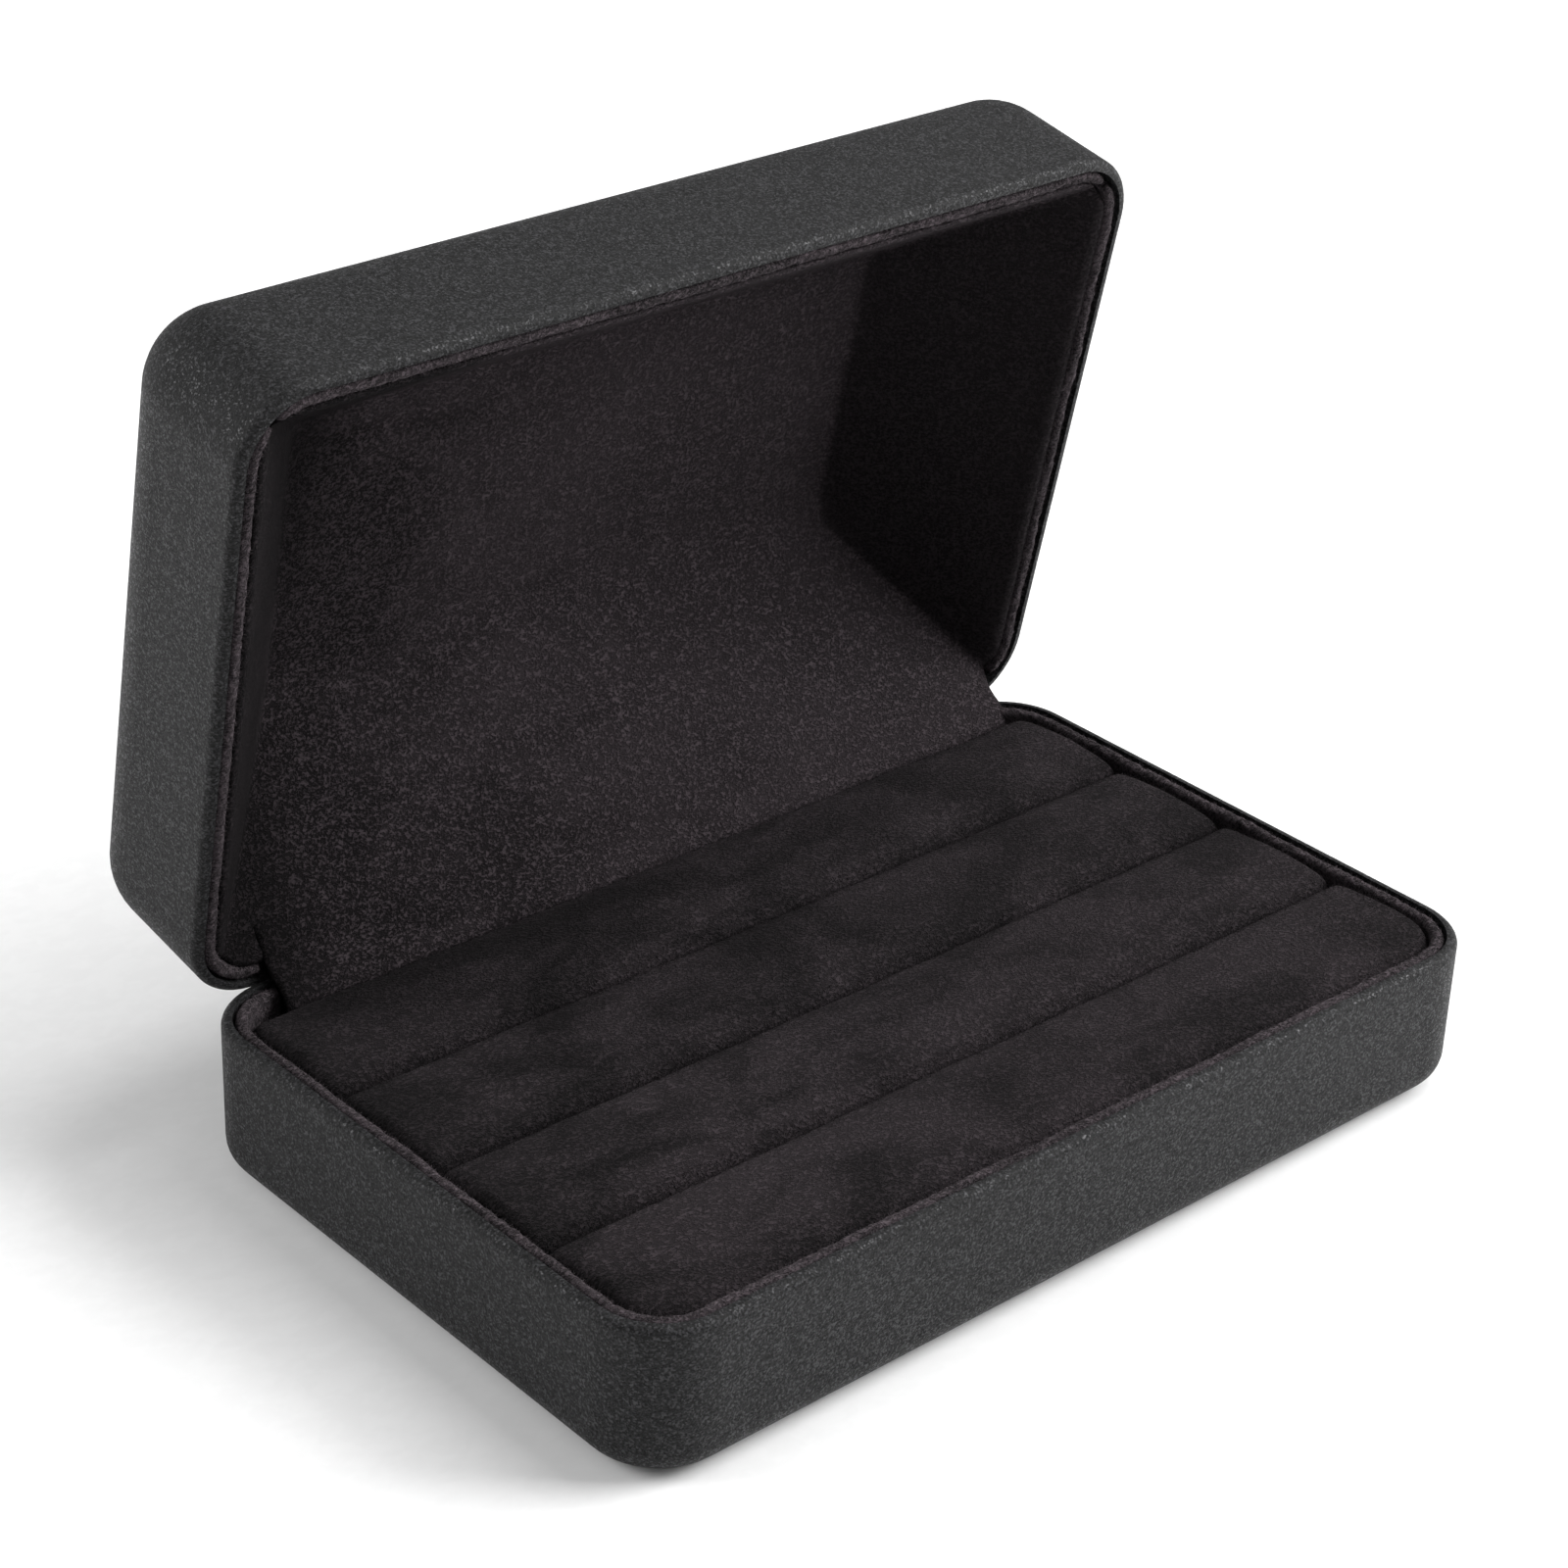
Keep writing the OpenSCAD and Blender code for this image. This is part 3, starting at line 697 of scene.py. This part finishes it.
def grow_tufts(piece, where, count, seed):
    """Stands short closed tufts on the faces whose middles pass where()."""
    rng = random.Random(seed)
    mesh = piece.data
    places = [(f.center.copy(), f.normal.copy(), math.sqrt(f.area)) for f in mesh.polygons
              if where(f.center)]
    points = [v.co.copy() for v in mesh.vertices]
    faces = [tuple(f.vertices) for f in mesh.polygons]
    for middle, normal, reach in rng.choices(places, [r * r for _, _, r in places], k=count):
        loose = Vector([rng.uniform(-1, 1) for _ in range(3)])
        across = normal.cross(loose).normalized()
        along = normal.cross(across)
        foot = middle + (across * rng.uniform(-0.6, 0.6) + along * rng.uniform(-0.6, 0.6)) * reach
        wide = rng.uniform(0.04, 0.08) * MM
        tip = foot + (normal + loose * 0.7).normalized() * rng.uniform(0.25, 0.7) * MM
        foot -= normal * 0.05 * MM
        n = len(points)
        points += [foot + across * wide, foot - across * wide * 0.5 + along * wide * 0.87,
                   foot - across * wide * 0.5 - along * wide * 0.87, tip]
        faces += [(n, n + 2, n + 1), (n, n + 1, n + 3), (n + 1, n + 2, n + 3),
                  (n + 2, n, n + 3)]
    made = bpy.data.meshes.new(mesh.name)
    made.from_pydata([tuple(p) for p in points], [], faces)
    made.materials.append(mesh.materials[0])
    made.update()
    piece.data = made
    activate(piece)
    bpy.ops.object.shade_smooth()


def make_band(name, path, rim, down, body, nodes, seed):
    """Sweeps the band's section along the path. rim is the rim plane's height, and down
    is 1 for a band that stands up to it and -1 for one that hangs down to it."""
    s = sizes()
    section = band_section()
    points, loops = [], []
    count = len(path)
    for i, (x, y, nx, ny) in enumerate(path):
        # The band is pinched where it is cut off
        away = min(i, count - 1 - i)
        narrow = 1.0 - 0.45 * math.exp(-(away / 1.6) ** 2)
        loop = []
        for u, v in section:
            v = v - (0.35 * MM if away < 1 else 0.0)
            loop.append(Vector((x + nx * u * narrow, y + ny * u * narrow, rim + down * v)))
        loops.append(loop)
        points += loop
    n = len(section)
    faces = skin(loops, True)
    faces.append(tuple(range(n)))
    faces.append(tuple(range((count - 1) * n, count * n)))
    band = piece_from(name, points, faces, band_material())
    subdivide_smooth(band)

    def tuft(p):
        d = abs(p.z - rim)
        if d > 4 * MM:
            return p
        out = ripple(p, 1.3 * MM, s.fuzz, seed) + ripple(p, 5 * MM, s.fuzz * 0.8, seed + 3)
        p.z += down * (ripple(p, 1.1 * MM, s.fuzz * 0.7, seed + 7)
                       + ripple(p, 9 * MM, s.fuzz * 0.7, seed + 9) - s.fuzz * 0.3)
        toward = Vector((p.x / (s.width / 2), p.y / (s.depth / 2), 0))
        if abs(toward.x) > abs(toward.y):
            p.x += math.copysign(out * 0.5, p.x)
        else:
            p.y += math.copysign(out * 0.5, p.y)
        return p

    move_points(band, tuft)
    grow_tufts(band, lambda p: abs(p.z - rim) < 1.6 * MM, TUFTS_PER_STEP * count, seed)

    def below_gap(p):
        # The pile stays on its own side of the gap between the two rims
        over = down * (p.z - rim) - 0.4 * s.rim_gap
        return p - Vector((0, 0, down * over)) if over > 0 else p

    move_points(band, below_gap)
    if body == "lid":
        band.data.transform(OPENED)
    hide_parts(*nodes)
    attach(band, body)


class RINGBOX_OT_base_band(Operator):
    """Makes the velvet band round the base's rim"""

    bl_idname = "ringbox.base_band"
    bl_label = "Base rim band"

    def execute(self, context):
        s = sizes()
        path = band_path()
        # Open the loop at the hinge strip's right end, run clockwise to its left end
        under = 1.8 * MM
        kept = [p for p in path
                if not (p[1] > s.depth / 2 - BACK_ZONE
                        and s.strip_left + under < p[0] < s.strip_right - under)]
        start = next(i for i, p in enumerate(kept)
                     if (Vector(p[:2]) - Vector(kept[i - 1][:2])).length > 5 * MM)
        kept = kept[start:] + kept[:start]
        make_band("rim_band_base", kept, s.base_rim, 1, "base",
                  ["base_rim_velvet", "base_rim_card"], 1.0)
        return {"FINISHED"}


class RINGBOX_OT_lid_bands(Operator):
    """Makes the three velvet bands round the lid's rim"""

    bl_idname = "ringbox.lid_bands"
    bl_label = "Lid rim bands"

    def execute(self, context):
        s = sizes()
        rim = s.base_rim + s.rim_gap
        path = band_path()
        cx, cy = s.width / 2 - s.corner, s.depth / 2 - s.corner

        def where(p):
            if p[1] > s.depth / 2 - BACK_ZONE and s.strip_left < p[0] < s.strip_right:
                return "gap"
            if p[1] < -cy and -p[1] - cy > abs(p[0]) - cx:
                return "front"
            return "left" if p[0] < 0 else "right"

        runs = {"front": [], "left": [], "right": []}
        shift = next(i for i, p in enumerate(path) if where(p) == "gap")
        for p in path[shift:] + path[:shift]:
            if where(p) != "gap":
                runs[where(p)].append(p)
        for k, (side, run) in enumerate(runs.items()):
            make_band("rim_band_lid_" + side, run, rim, -1, "lid",
                      ["lid_rim_velvet_" + side, "lid_rim_card_" + side], 11.0 + 5 * k)
        return {"FINISHED"}


# ---------------------------------------------------------------- ring rolls


# Heights of a roll's side points over its foot, drop of its end and of its long edges,
# and the width over which those edges bend
ROLL_SIDE = (0, 8 * MM, 15 * MM)
END_DROP = 2.2 * MM
EDGE_DROP = 1.9 * MM
EDGE_BEND = 2.1 * MM
# How much higher each roll's velvet stands at its right end, by the roll's number
END_SLACK = {1: 0.25 * MM, 2: -0.35 * MM, 3: 0.0, 4: 0.45 * MM}
ROLL_TUFTS = 5000


def roll_limits(low, high):
    """Front and back of a roll at a place along it, from the tray's rounded corners."""
    s = sizes()
    x1 = high.x
    front = -s.depth / 2 + (s.width / 2 - x1)
    radius = s.corner - (s.width / 2 - x1)

    def limits(x):
        over = abs(x) - (x1 - radius)
        turn = radius - math.sqrt(max(radius ** 2 - over ** 2, 0)) if over > 0 else 0.0
        return max(low.y, front + turn), min(high.y, -front - turn)

    return limits


def make_roll(number):
    s = sizes()
    node_name = "roll_velvet_%d" % number
    low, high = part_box(node_name)
    limits = roll_limits(low, high)
    mid = (low.y + high.y) / 2
    half = (high.y - low.y) / 2
    length = high.x
    end = s.roll_end

    stations = [0.0]
    while stations[-1] < length - end:
        stations.append(stations[-1] + 3 * MM)
    stations[-1] = length - end
    stations += [length - end + end * math.sin(math.radians(a)) for a in range(12, 90, 12)]
    stations += [length - 0.02 * MM]
    stations = [-x for x in reversed(stations[1:])] + stations
    loops, points = [], []
    for x in stations:
        y0, y1 = limits(x)
        over = max(0.0, (abs(x) - (length - end)) / end)
        fall = END_DROP * (1 - math.sqrt(max(0.0, 1 - over ** 2)))
        if x > 0:
            fall -= END_SLACK[number] * over
        loop = [Vector((x, y0, low.z + up)) for up in ROLL_SIDE]
        steps = 22
        for k in range(steps + 1):
            t = -1 + 2 * k / steps
            t = math.sin(t * math.pi / 2)
            y = (y0 + y1) / 2 + t * (y1 - y0) / 2
            across = (y - mid) / half
            shoulder = max(0.0, (abs(t) * (y1 - y0) / 2 - ((y1 - y0) / 2 - EDGE_BEND)))
            shoulder = min(shoulder / EDGE_BEND, 1.0)
            z = (high.z - s.roll_crown * across ** 2 - fall
                 - EDGE_DROP * (1 - math.sqrt(max(0.0, 1 - shoulder ** 2))))
            loop.append(Vector((x, y, z)))
        loop += [Vector((x, y1, low.z + up)) for up in reversed(ROLL_SIDE)]
        loops.append(loop)
        points += loop
    n = len(loops[0])
    faces = skin(loops, True)
    faces.append(tuple(range(n)))
    faces.append(tuple(range(len(points) - n, len(points))))
    roll = piece_from("ring_roll_%d" % number, points, faces, roll_material())

    # Even cells, so that the velvet can be simulated
    activate(roll)
    roll.data.remesh_voxel_size = 1.6 * MM
    bpy.ops.object.voxel_remesh()
    bpy.ops.object.shade_smooth()
    settle(roll, low, high, limits)
    subdivide_smooth(roll)

    def soften(p):
        if p.z > low.z + 12 * MM:
            p.z += ripple(p, 16 * MM, 0.22 * MM, number) + ripple(p, 5 * MM, 0.1 * MM, number)
        return p

    move_points(roll, soften)
    edge = 2.2 * MM

    def at_edge(p):
        y0, y1 = limits(p.x)
        return p.z > high.z - 3.6 * MM and (min(p.y - y0, y1 - p.y) < edge
                                            or length - abs(p.x) < edge)

    grow_tufts(roll, at_edge, ROLL_TUFTS, number)
    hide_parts(node_name, "roll_foam_%d" % number)
    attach(roll, "base")


def settle(roll, low, high, limits):
    """Inflates the velvet a little from its glued foot up, as a closed skin with nothing
    in it, and then keeps it in the roll's own room."""
    start = [v.co.copy() for v in roll.data.vertices]
    pinned = roll.vertex_groups.new(name="glued")
    pinned.add([v.index for v in roll.data.vertices if v.co.z < low.z + 9 * MM], 1.0,
               "REPLACE")
    cloth = roll.modifiers.new("Velvet", "CLOTH")
    cloth.settings.quality = 4
    cloth.settings.mass = 0.3
    cloth.settings.tension_stiffness = cloth.settings.compression_stiffness = 12
    cloth.settings.bending_stiffness = 1.2
    cloth.settings.use_pressure = True
    cloth.settings.uniform_pressure_force = 1.2
    cloth.settings.vertex_group_mass = "glued"
    cloth.settings.effector_weights.gravity = 0
    cloth.collision_settings.use_collision = False
    scene = bpy.context.scene
    cloth.point_cache.frame_start, cloth.point_cache.frame_end = 1, sizes().steps
    for step in range(1, sizes().steps + 1):
        scene.frame_set(step)
    apply(roll, cloth)
    scene.frame_set(1)
    cap = 0.9 * MM
    for vertex, before in zip(roll.data.vertices, start):
        move = vertex.co - before
        if move.length > cap:
            move *= cap / move.length
        co = before + move
        y0, y1 = limits(co.x)
        co.y = min(max(co.y, y0 - 0.1 * MM), y1 + 0.1 * MM)
        co.x = min(max(co.x, low.x), high.x)
        co.z = min(max(co.z, low.z), high.z + 0.3 * MM)
        vertex.co = co
    roll.vertex_groups.clear()


class RINGBOX_OT_rolls(Operator):
    """Makes the four ring rolls, with their velvet slightly inflated"""

    bl_idname = "ringbox.rolls"
    bl_label = "Ring rolls"

    def execute(self, context):
        for number in range(1, 5):
            make_roll(number)
        return {"FINISHED"}


# ---------------------------------------------------------------- lid lining


def soft_min(a, b, k):
    """The smaller of two values, rounded over a span of k where they cross."""
    h = max(k - abs(a - b), 0.0) / k
    return min(a, b) - h * h * k / 4


def soft_max(a, b, k):
    return -soft_min(-a, -b, k)


# Spans over which the lining bends: a wide soft bend over the hinge, sharp creases
# elsewhere, and a soft run into its rim
HINGE_BEND = 9 * MM
CREASE = 1.2 * MM
RIM_BEND = 0.8 * MM
RIM_DEPTH = 0.9 * MM


def lining_depth(x, y):
    """Depth of the lining below the lid's rim plane."""
    s = sizes()
    edge = s.band_in + s.band_thick + 0.2 * MM
    start = -0.3 * MM
    rise = s.panel_depth - start
    end = start + (s.width / 2 - edge - abs(x)) * rise / s.slope_end
    front = start + (y + s.depth / 2 - edge) * rise / s.slope_front
    hinge = start + (s.depth / 2 - edge - y) * rise / s.slope_hinge
    depth = soft_min(s.panel_depth, hinge, HINGE_BEND)
    depth = soft_min(depth, front, CREASE)
    depth = soft_min(depth, end, CREASE)
    return soft_max(depth, RIM_DEPTH, RIM_BEND)


class RINGBOX_OT_lining(Operator):
    """Makes the lid's velvet lining, with its sloping sides and its flat panel"""

    bl_idname = "ringbox.lining"
    bl_label = "Lid lining"

    def execute(self, context):
        s = sizes()
        rim = s.base_rim + s.rim_gap
        edge = s.band_in + s.band_thick + 0.15 * MM
        half_x, half_y = s.width / 2 - edge, s.depth / 2 - edge
        loops, points = [], []
        rings = 64
        reach = min(half_x, half_y)
        for i in range(rings + 1):
            t = i / rings
            hx, hy = half_x - t * reach, half_y - t * reach
            radius = max((s.corner - edge) * (1 - 2 * t), 0.6 * MM)
            loop = []
            for x, y in self.ring(max(hx, 1 * MM), max(hy, 0.7 * MM), radius):
                # The last ring closes on the panel's middle line
                y = 0.0 if i == rings else y
                loop.append(Vector((x, y, rim + lining_depth(x, y))))
            loops.append(loop)
            points += loop
        n = len(loops[0])
        faces = skin(loops, True)
        # The velvet is turned over the lining's edge, behind the bands
        lip = [Vector((p.x * 1.002, p.y * 1.002, p.z + 1.2 * MM)) for p in loops[0]]
        faces += [(k, (k + 1) % n, len(points) + (k + 1) % n, len(points) + k)
                  for k in range(n)]
        points += lip
        lining = piece_from("lid_lining", points, faces, lining_material())

        def wave(p):
            depth = p.z - rim
            if depth > 3 * MM:
                p.z += ripple(p, 24 * MM, 0.35 * MM, 5) + ripple(p, 7 * MM, 0.1 * MM, 6)
            return p

        move_points(lining, wave)
        # The faces look to the lid's open side
        middle = min(lining.data.polygons, key=lambda f: f.center.xy.length)
        if middle.normal.z > 0:
            turn_faces(lining)
        thicken(lining, 0.8 * MM)
        lining.data.transform(OPENED)
        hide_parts("lid_lining_velvet", "lid_lining_card")
        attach(lining, "lid")
        return {"FINISHED"}

    def ring(self, hx, hy, radius):
        """A ring with the same number of points whatever its size."""
        made = []
        cx, cy = hx - radius, hy - radius
        corners = [(cx, cy, 0), (-cx, cy, 90), (-cx, -cy, 180), (cx, -cy, 270)]
        for k, (x, y, a0) in enumerate(corners):
            for step in range(9):
                a = math.radians(a0 + 90 * step / 8)
                made.append((x + radius * math.cos(a), y + radius * math.sin(a)))
            nx, ny, _ = corners[(k + 1) % 4]
            a = math.radians(a0 + 90)
            p = Vector((x + radius * math.cos(a), y + radius * math.sin(a)))
            q = Vector((nx + radius * math.cos(a), ny + radius * math.sin(a)))
            count = 84 if k % 2 == 0 else 48
            for step in range(1, count):
                m = p.lerp(q, step / count)
                made.append((m.x, m.y))
        return made


# ---------------------------------------------------------------- strip over the hinge


class RINGBOX_OT_hinge_strip(Operator):
    """Makes the velvet strip that runs from the base over the hinge to the lid"""

    bl_idname = "ringbox.hinge_strip"
    bl_label = "Hinge strip"

    def execute(self, context):
        s = sizes()
        # Side view of the open box: behind the last roll, up over the hinge, onto the lid
        line = [(51.7, 15.0), (51.8, 20.0), (52.2, 24.2), (53.2, 27.0), (55.0, 28.9),
                (57.0, 30.2), (58.4, 31.5), (59.3, 33.1), (60.2, 34.9), (61.5, 36.6),
                (63.3, 38.4)]
        curve = self.rounded([Vector((0, y * MM, z * MM)) for y, z in line], 40)
        x0, x1 = s.strip_left, s.strip_right
        count = round((x1 - x0) / (1.6 * MM))
        loops, points = [], []
        for p in curve:
            loop = [Vector((x0 + (x1 - x0) * k / count, p.y, p.z)) for k in range(count + 1)]
            loops.append(loop)
            points += loop
        strip = piece_from("hinge_strip", points, skin(loops, False),
                           lining_material())

        def crumple(p):
            d = Vector((0, -0.8, 0.6))
            return p + d * (ripple(p, 14 * MM, 0.3 * MM, 8) + ripple(p, 5 * MM, 0.12 * MM, 9))

        move_points(strip, crumple)
        # The faces look to the front, where the strip is seen from
        middle = strip.data.polygons[len(strip.data.polygons) // 2]
        if middle.normal.y > 0:
            turn_faces(strip)
        thicken(strip, 0.5 * MM)
        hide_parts("hinge_cover_base", "hinge_cover_lid")
        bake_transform(strip)
        return {"FINISHED"}

    def rounded(self, points, count):
        """A smooth line through the points, in even steps."""
        ends = [points[0]] + points + [points[-1]]
        fine = []
        for a, b, c, d in zip(ends, ends[1:], ends[2:], ends[3:]):
            for k in range(12):
                t = k / 12
                fine.append(0.5 * (2 * b + (c - a) * t + (2 * a - 5 * b + 4 * c - d) * t ** 2
                                   + (3 * b - a - 3 * c + d) * t ** 3))
        fine.append(points[-1])
        total = sum((q - p).length for p, q in zip(fine, fine[1:]))
        even, run, want = [fine[0]], 0.0, total / count
        for p, q in zip(fine, fine[1:]):
            run += (q - p).length
            if run >= want:
                even.append(q)
                run = 0.0
        return even if even[-1] == fine[-1] else even + [fine[-1]]


# ---------------------------------------------------------------- studio


class RINGBOX_OT_studio(Operator):
    """Makes the camera, the pale floor and the soft studio light"""

    bl_idname = "ringbox.studio"
    bl_label = "Studio"

    def execute(self, context):
        scene = context.scene
        scene.view_settings.view_transform = "Standard"
        self.camera(scene)
        self.floor()
        self.world(scene)
        for name, at, size, power in (
            ("Right front soft box", (1.0, -0.62, 0.75), 0.8, 25.0),
            ("Left back soft box", (-0.95, 0.85, 0.65), 0.8, 12.0),
            ("Top soft box", (0.55, 0.0, 1.3), 0.9, 9.0),
        ):
            self.light(name, at, size, power)
        return {"FINISHED"}

    def camera(self, scene):
        yaw, rise, roll = math.radians(-41.10), math.radians(28.51), math.radians(1.577)
        back = Vector((math.sin(yaw) * math.cos(rise), -math.cos(yaw) * math.cos(rise),
                       math.sin(rise)))
        across = Vector((0, 0, 1)).cross(back).normalized()
        up = back.cross(across)
        x = math.cos(roll) * across + math.sin(roll) * up
        y = -math.sin(roll) * across + math.cos(roll) * up
        data = bpy.data.cameras.new("Camera")
        data.lens, data.sensor_width = 85.91, 36.0
        data.shift_x, data.shift_y = 0.0514, -0.0103
        data.clip_start, data.clip_end = 0.02, 20.0
        camera = bpy.data.objects.new("Camera", data)
        turned = Matrix((x, y, back)).transposed().to_4x4()
        camera.matrix_world = Matrix.Translation((-0.37618, -0.39062, 0.36109)) @ turned
        scene.collection.objects.link(camera)
        scene.camera = camera

    def floor(self):
        deselect()
        bpy.ops.mesh.primitive_plane_add(size=8.0, location=(0, 0, 0))
        floor = bpy.context.object
        floor.name = "studio_floor"
        floor.data.materials.append(
            plain_material("Floor", finishes().floor, 0.9, grain=0.004, spread=0.01,
                           depth=0.0))

    def world(self, scene):
        world = bpy.data.worlds.new("Studio")
        world.use_nodes = True
        tree = world.node_tree
        lit = tree.nodes["Background"]
        lit.inputs["Color"].default_value = (1.0, 1.0, 1.0, 1.0)
        lit.inputs["Strength"].default_value = 0.3
        # A white backdrop for the camera, over a dimmer sky for the light
        seen = node(tree, "ShaderNodeBackground", (0, -200), in_Strength=1.0)
        seen.inputs["Color"].default_value = (1.0, 1.0, 1.0, 1.0)
        path = node(tree, "ShaderNodeLightPath", (-300, 200))
        mix = node(tree, "ShaderNodeMixShader", (250, 0))
        tree.links.new(path.outputs["Is Camera Ray"], mix.inputs[0])
        tree.links.new(lit.outputs[0], mix.inputs[1])
        tree.links.new(seen.outputs[0], mix.inputs[2])
        tree.links.new(mix.outputs[0], tree.nodes["World Output"].inputs["Surface"])
        scene.world = world

    def light(self, name, at, size, power):
        data = bpy.data.lights.new(name, "AREA")
        data.shape, data.size, data.energy = "SQUARE", size, power
        light = bpy.data.objects.new(name, data)
        light.location = at
        aim = Vector((0, 0, 0.05)) - Vector(at)
        light.rotation_euler = aim.to_track_quat("-Z", "Y").to_euler()
        bpy.context.scene.collection.objects.link(light)


# ---------------------------------------------------------------- panel and registration


class RINGBOX_PT_panel(Panel):
    """Lists the pieces, sizes and finishes of the ring box"""

    bl_label = "Ring box"
    bl_idname = "RINGBOX_PT_panel"
    bl_space_type = "VIEW_3D"
    bl_region_type = "UI"
    bl_category = "Ring box"

    def draw(self, context):
        for step in STEPS:
            self.layout.operator(step.bl_idname)
        for settings in (sizes(), finishes()):
            for key in settings.__annotations__:
                self.layout.prop(settings, key)


STEPS = (
    RINGBOX_OT_wraps,
    RINGBOX_OT_cores,
    RINGBOX_OT_hinges,
    RINGBOX_OT_base_band,
    RINGBOX_OT_lid_bands,
    RINGBOX_OT_rolls,
    RINGBOX_OT_lining,
    RINGBOX_OT_hinge_strip,
    RINGBOX_OT_studio,
)
CLASSES = (RingBoxSizes, RingBoxFinishes, *STEPS, RINGBOX_PT_panel)


def register():
    for kind in CLASSES:
        bpy.utils.register_class(kind)
    bpy.types.Scene.ring_box_sizes = PointerProperty(type=RingBoxSizes)
    bpy.types.Scene.ring_box_finishes = PointerProperty(type=RingBoxFinishes)


def unregister():
    del bpy.types.Scene.ring_box_sizes
    del bpy.types.Scene.ring_box_finishes
    for kind in reversed(CLASSES):
        bpy.utils.unregister_class(kind)


def main():
    register()
    for step in STEPS:
        action = getattr(bpy.ops.ringbox, step.bl_idname.split(".")[1])
        action()


if __name__ == "__main__":
    main()
